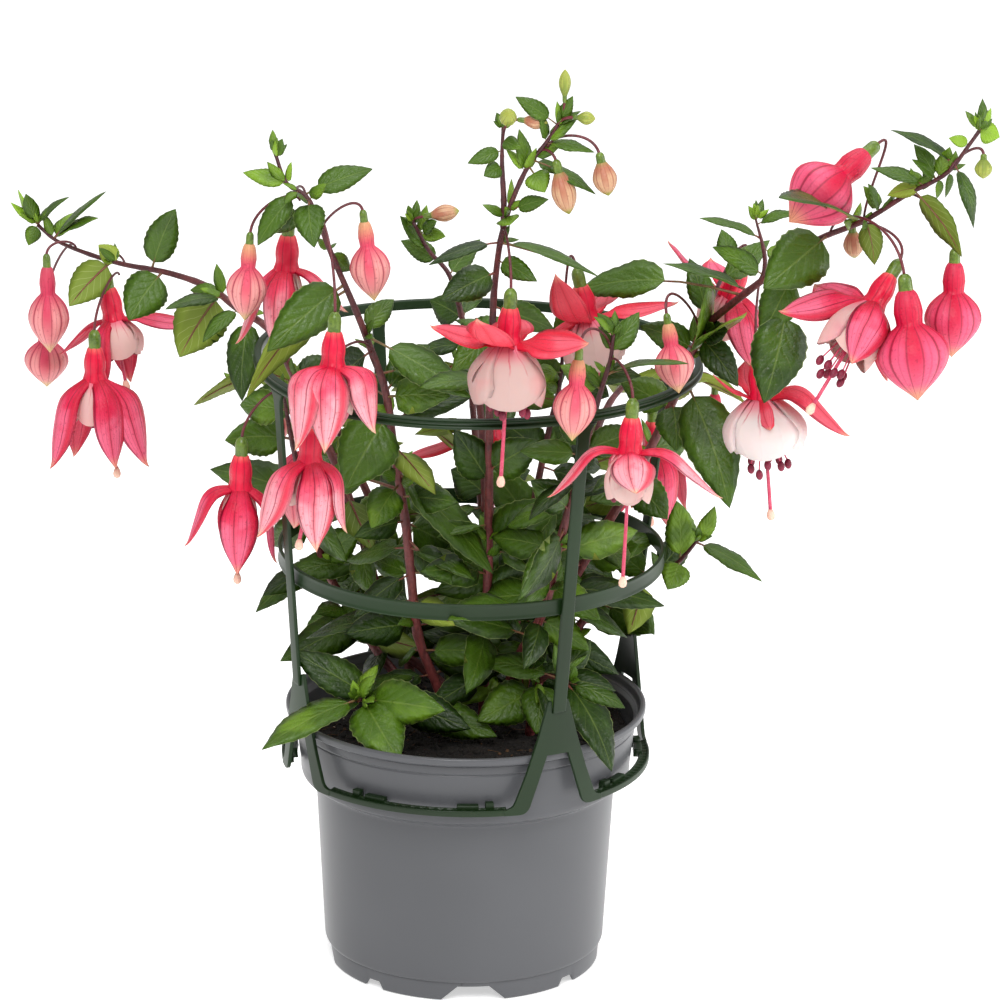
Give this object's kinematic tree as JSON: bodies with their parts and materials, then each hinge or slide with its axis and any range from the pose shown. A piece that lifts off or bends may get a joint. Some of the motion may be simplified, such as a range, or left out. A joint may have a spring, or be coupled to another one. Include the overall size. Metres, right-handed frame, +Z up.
{
  "type": "potted fuchsia",
  "caption": "Double-flowered fuchsia with pink sepals and pale petals, in a grey nursery pot with a clip-on plastic support cage; it stands on its base.",
  "frame": {"origin": "on the surface that the pot stands on, under the middle of the plant's whole spread, which is the pot's axis", "axes": "+Z up; -Y is the front of the plant, where the largest open flower faces; +X to the right as seen from the front"},
  "size_m": [0.4989, 0.3547, 0.506],
  "materials": {
    "pot_plastic": "satin mid-grey moulded plastic, glossier on the rim",
    "compost": "damp dark potting compost with fibres",
    "cage_plastic": "dark green satin moulded plastic",
    "foliage": "mid-green leaves with paler undersides, on red-brown stems",
    "petals": "coral-pink sepals and tube, pale pink to white petals",
    "buds": "pink buds with darker seams and paler tips",
    "young_buds": "peach to yellow-green young buds"
  },
  "bodies": {
    "root": {"pot": "pot_plastic", "compost": "compost", "cage_base": "cage_plastic", "cage_upright_1": "cage_plastic", "cage_upright_2": "cage_plastic", "cage_upright_3": "cage_plastic", "cage_upright_4": "cage_plastic", "cage_middle_hoop": "cage_plastic", "cage_top_hoop": "cage_plastic", "shoot_left_front": "foliage", "shoot_top_centre": "foliage", "shoot_front_right": "foliage", "shoot_right_reach": "foliage", "shoot_far_left": "foliage", "shoot_left_low": "foliage", "shoot_back_left": "foliage", "shoot_base_right": "foliage", "shoot_base_left": "foliage", "shoot_right_low": "foliage", "shoot_centre": "foliage", "shoot_rear_left": "foliage", "shoot_rear_centre": "foliage", "shoot_rear_right": "foliage", "flower_left_outer": "petals", "flower_left_inner": "petals", "flower_left_high": "petals", "flower_left_front": "petals", "flower_left_mid": "petals", "flower_left_low": "petals", "flower_centre": "petals", "flower_centre_back": "petals", "flower_right_front": "petals", "flower_right_top": "petals", "flower_right_back": "petals", "flower_right_outer": "petals", "flower_right_low": "petals", "flower_rear_left": "petals", "flower_rear_centre": "petals", "flower_rear_right": "petals", "bud_left_upper": "buds", "bud_left_lower": "buds", "bud_left_high": "buds", "bud_left_stem": "buds", "bud_front": "buds", "bud_right_ring": "buds", "bud_right_large": "buds", "bud_right_end": "buds", "bud_rear_left": "buds", "bud_rear_right": "buds", "bud_peach_small": "young_buds", "bud_round_end": "young_buds", "bud_top": "young_buds", "bud_top_right": "young_buds", "bud_peach_centre": "young_buds", "bud_peach_right": "young_buds", "bud_top_brown": "young_buds", "bud_top_left": "young_buds", "bud_peach_back": "young_buds"}
  },
  "joints": []
}
